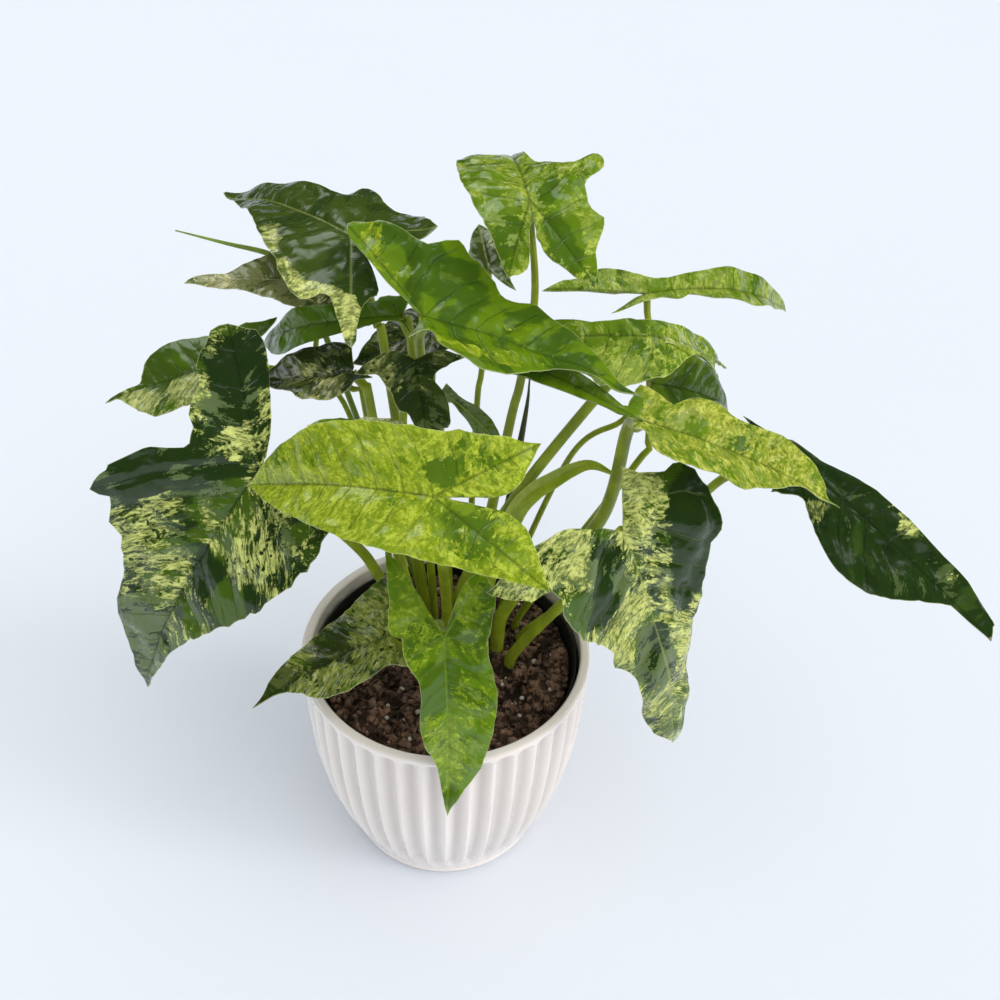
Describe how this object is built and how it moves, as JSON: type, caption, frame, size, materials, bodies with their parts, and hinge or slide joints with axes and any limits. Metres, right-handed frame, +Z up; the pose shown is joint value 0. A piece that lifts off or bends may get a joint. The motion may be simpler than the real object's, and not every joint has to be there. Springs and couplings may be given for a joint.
{
  "type": "potted syngonium plant",
  "caption": "Bushy arrowhead plant with marbled, lobed leaves on thin stalks, standing in soil in a nursery pot inside a fluted white cover pot.",
  "frame": {"origin": "centre of the cover pot's flat foot, on the surface it stands on", "axes": "+Z up along the pot's axis, -Y towards the front of the plant, +X to the right as seen from the front"},
  "size_m": [0.3877, 0.2081, 0.3593],
  "materials": {
    "pot_glaze": "white ceramic glaze",
    "black_plastic": "matt moulded",
    "soil": "loose peat and bark, stands in as soft wood",
    "leaf_lime": "satin, marbled lime",
    "leaf_green": "satin green",
    "leaf_dark": "glossy dark green, cream marbling",
    "young_green": "satin",
    "stalk_green": "satin"
  },
  "bodies": {
    "root": {"leaf_back_left": "leaf_green", "leaf_back_right": "leaf_lime", "leaf_back_small": "leaf_green", "leaf_behind_front": "leaf_dark", "leaf_centre": "leaf_green", "leaf_far_right": "leaf_dark", "leaf_front": "leaf_lime", "leaf_front_drop": "leaf_lime", "leaf_inner_marbled": "leaf_dark", "leaf_left_back": "leaf_dark", "leaf_left_large": "leaf_dark", "leaf_left_marbled": "leaf_dark", "leaf_low_left": "leaf_dark", "leaf_middle_hanging": "leaf_dark", "leaf_middle_left": "leaf_green", "leaf_middle_under": "leaf_green", "leaf_right_dark": "leaf_dark", "leaf_right_long": "leaf_lime", "leaf_right_low": "leaf_dark", "leaf_right_upper": "leaf_lime", "leaf_top": "leaf_lime", "leaf_upper_left": "leaf_dark", "nursery_pot": "black_plastic", "old_stalk": "stalk_green", "pot": "pot_glaze", "rolled_leaf_back": "young_green", "soil": "soil", "stalk_back_left": "stalk_green", "stalk_back_right": "stalk_green", "stalk_back_small": "stalk_green", "stalk_behind_front": "stalk_green", "stalk_centre": "stalk_green", "stalk_far_right": "stalk_green", "stalk_front": "stalk_green", "stalk_front_drop": "stalk_green", "stalk_inner_marbled": "stalk_green", "stalk_left_back": "stalk_green", "stalk_left_large": "stalk_green", "stalk_left_marbled": "stalk_green", "stalk_low_left": "stalk_green", "stalk_middle_hanging": "stalk_green", "stalk_middle_left": "stalk_green", "stalk_middle_under": "stalk_green", "stalk_right_dark": "stalk_green", "stalk_right_long": "stalk_green", "stalk_right_low": "stalk_green", "stalk_right_upper": "stalk_green", "stalk_top": "stalk_green", "stalk_upper_left": "stalk_green", "young_leaf": "young_green"}
  },
  "joints": []
}
